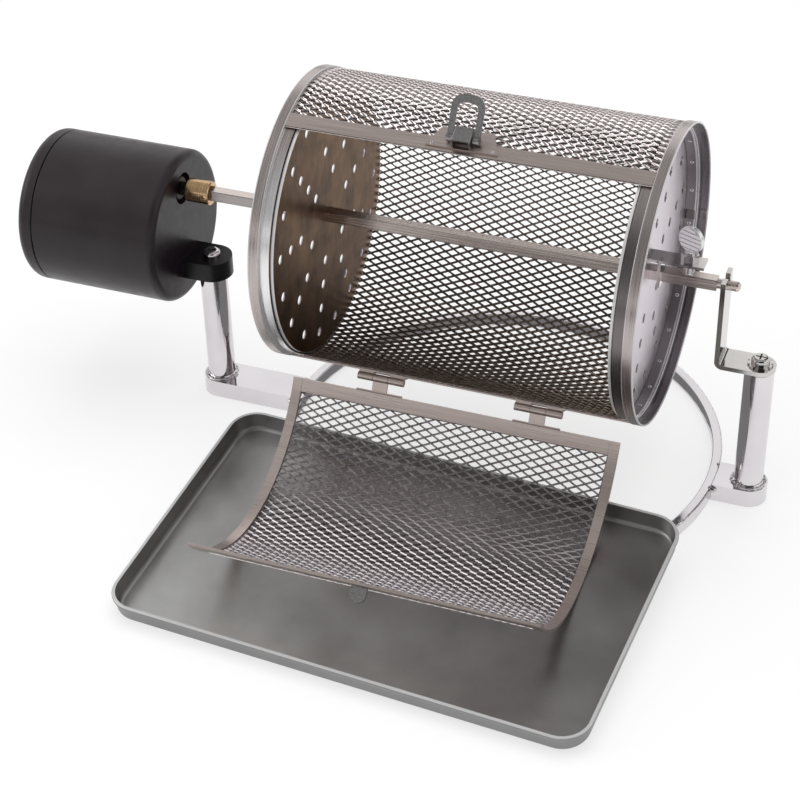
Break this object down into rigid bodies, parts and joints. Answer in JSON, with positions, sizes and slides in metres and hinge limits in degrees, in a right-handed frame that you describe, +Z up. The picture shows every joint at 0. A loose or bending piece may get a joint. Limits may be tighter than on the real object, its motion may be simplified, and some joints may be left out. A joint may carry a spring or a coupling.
{
  "type": "coffee roaster",
  "caption": "Table-top drum roaster: a motor-driven mesh drum with a hinged door on a ring stand, its door open as a chute into a shallow tray.",
  "frame": {"origin": "bottom centre of the bounding box, on the table under the roaster", "axes": "+X along the drum axis away from the motor, -Y to the front where the door and tray are, +Z up"},
  "size_m": [0.4026, 0.3248, 0.2164],
  "materials": {
    "chrome_steel": "bright plated, polished",
    "stainless": "brushed stainless sheet",
    "mesh_steel": "bright expanded metal",
    "pan_steel": "satin stainless sheet",
    "black_plastic": "matte moulded",
    "brass": "turned brass",
    "tray_steel": "grey satin sheet",
    "zinc_steel": "zinc plated",
    "black_rubber": "soft matte"
  },
  "bodies": {
    "stand": {"base_ring": "chrome_steel", "left_arm": "chrome_steel", "right_arm": "chrome_steel", "left_post": "chrome_steel", "right_post": "chrome_steel", "bearing_bracket": "chrome_steel", "bracket_washer": "chrome_steel", "bracket_screw": "chrome_steel", "lug_screw": "chrome_steel", "motor_housing": "black_plastic", "rear_cap": "black_plastic", "cap_screws": "zinc_steel", "cord_grommet": "black_rubber", "motor_can": "zinc_steel", "gearbox_plate": "zinc_steel", "motor_screws": "zinc_steel", "stator_coil": "brass", "gear_pins": "zinc_steel"},
    "drum": {"drive_rod": "chrome_steel", "left_end_pan": "pan_steel", "right_end_pan": "pan_steel", "left_rim_band": "stainless", "right_rim_band": "stainless", "drum_skin": "mesh_steel", "upper_edge_strip": "stainless", "lower_edge_strip": "stainless", "drum_hinge_leaves": "stainless", "latch_plate": "stainless", "latch_box": "stainless", "latch_pin": "stainless", "clamp_strap": "stainless", "clamp_nut": "chrome_steel", "coupling": "brass", "coupling_screws": "zinc_steel", "output_shaft": "zinc_steel", "output_gear": "brass"},
    "door": {"door_mesh": "mesh_steel", "door_left_strip": "stainless", "door_right_strip": "stainless", "door_free_strip": "stainless", "door_hinge_strip": "stainless", "door_keeper": "stainless", "door_hinge_leaves": "stainless", "hinge_pins": "stainless"},
    "latch_loop": {"latch_loop": "stainless"},
    "thumb_screw": {"thumb_screw": "chrome_steel"},
    "rotor": {"rotor": "zinc_steel"},
    "idler": {"idler_gear": "brass"},
    "tray": {"tray": "tray_steel"}
  },
  "joints": [
    {"name": "drum_spin", "type": "hinge", "parent": "stand", "child": "drum", "pos_m": [0.0578, 0.04544, 0.125], "axis": [-1, 0, 0], "range_deg": [0, 225]},
    {"name": "door_swing", "type": "hinge", "parent": "drum", "child": "door", "pos_m": [0.0578, 0.00469, 0.05849], "axis": [-1, 0, 0], "range_deg": [0, 99.62]},
    {"name": "latch_swing", "type": "hinge", "parent": "drum", "child": "latch_loop", "pos_m": [0.0468, 0.017, 0.19795], "axis": [1, 0, 0], "range_deg": [-44, 136]},
    {"name": "thumb_screw_turn", "type": "hinge", "parent": "drum", "child": "thumb_screw", "pos_m": [0.1525, 0.04544, 0.125], "axis": [0, 0, 1], "continuous": true},
    {"name": "rotor_spin", "type": "hinge", "parent": "stand", "child": "rotor", "pos_m": [-0.1282, 0.04544, 0.1145], "axis": [-1, 0, 0], "range_deg": [0, 2040]},
    {"name": "idler_spin", "type": "hinge", "parent": "stand", "child": "idler", "pos_m": [-0.1244, 0.05348, 0.11975], "axis": [-1, 0, 0], "range_deg": [-680, 0]},
    {"name": "tray_slide", "type": "slide", "parent": "stand", "child": "tray", "axis": [0.998, -0.0628, 0], "range_m": [-0.02, 0.02]}
  ],
  "couplings": [
    {"joint": "rotor_spin", "follows": "drum_spin", "ratio": 9},
    {"joint": "idler_spin", "follows": "drum_spin", "ratio": -3}
  ]
}
